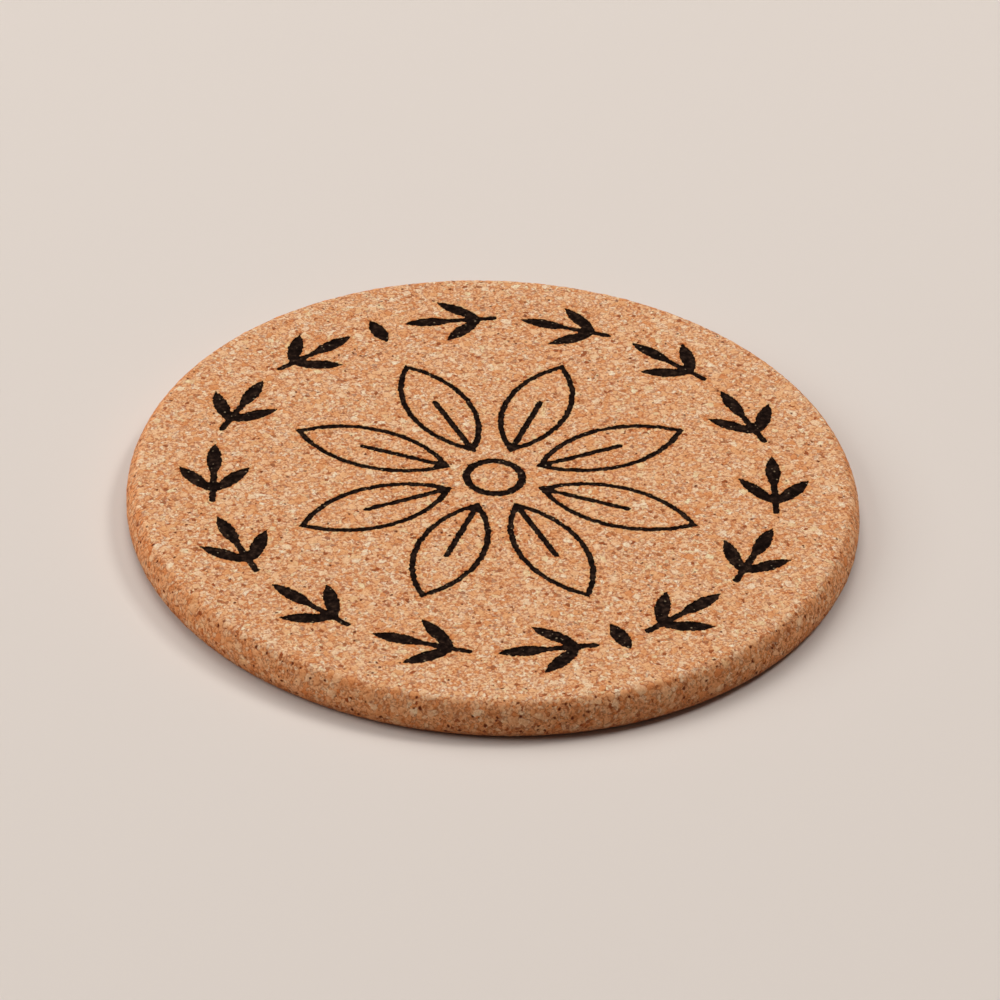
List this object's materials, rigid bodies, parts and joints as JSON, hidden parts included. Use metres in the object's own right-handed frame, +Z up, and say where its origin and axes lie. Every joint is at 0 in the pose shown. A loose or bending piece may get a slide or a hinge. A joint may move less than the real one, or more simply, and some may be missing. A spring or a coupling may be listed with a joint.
{
  "type": "cork coaster",
  "caption": "Round pressed-cork coaster with a curved edge and a burnt flower and leaf-wreath ornament sunk into its top; it lies on a table under a cup or glass.",
  "frame": {"origin": "centre of the underside, on the surface that the coaster lies on", "axes": "+Z up out of the top face, +Y the upright direction of the ornament, +X to its right"},
  "size_m": [0.1, 0.1, 0.0055],
  "materials": {
    "cork": "matte pressed cork granules in tan, straw and reddish brown",
    "char": "burnt cork, near-black with a faint sheen"
  },
  "bodies": {
    "root": {"cork_disc": "cork", "burnt_eye_ring": "char", "burnt_petal_1": "char", "burnt_petal_2": "char", "burnt_petal_3": "char", "burnt_petal_4": "char", "burnt_petal_5": "char", "burnt_petal_6": "char", "burnt_petal_7": "char", "burnt_petal_8": "char", "burnt_bud_bottom": "char", "burnt_bud_top": "char", "burnt_sprig_right_1": "char", "burnt_sprig_right_2": "char", "burnt_sprig_right_3": "char", "burnt_sprig_right_4": "char", "burnt_sprig_right_5": "char", "burnt_sprig_right_6": "char", "burnt_sprig_right_7": "char", "burnt_sprig_left_1": "char", "burnt_sprig_left_2": "char", "burnt_sprig_left_3": "char", "burnt_sprig_left_4": "char", "burnt_sprig_left_5": "char", "burnt_sprig_left_6": "char", "burnt_sprig_left_7": "char"}
  },
  "joints": []
}
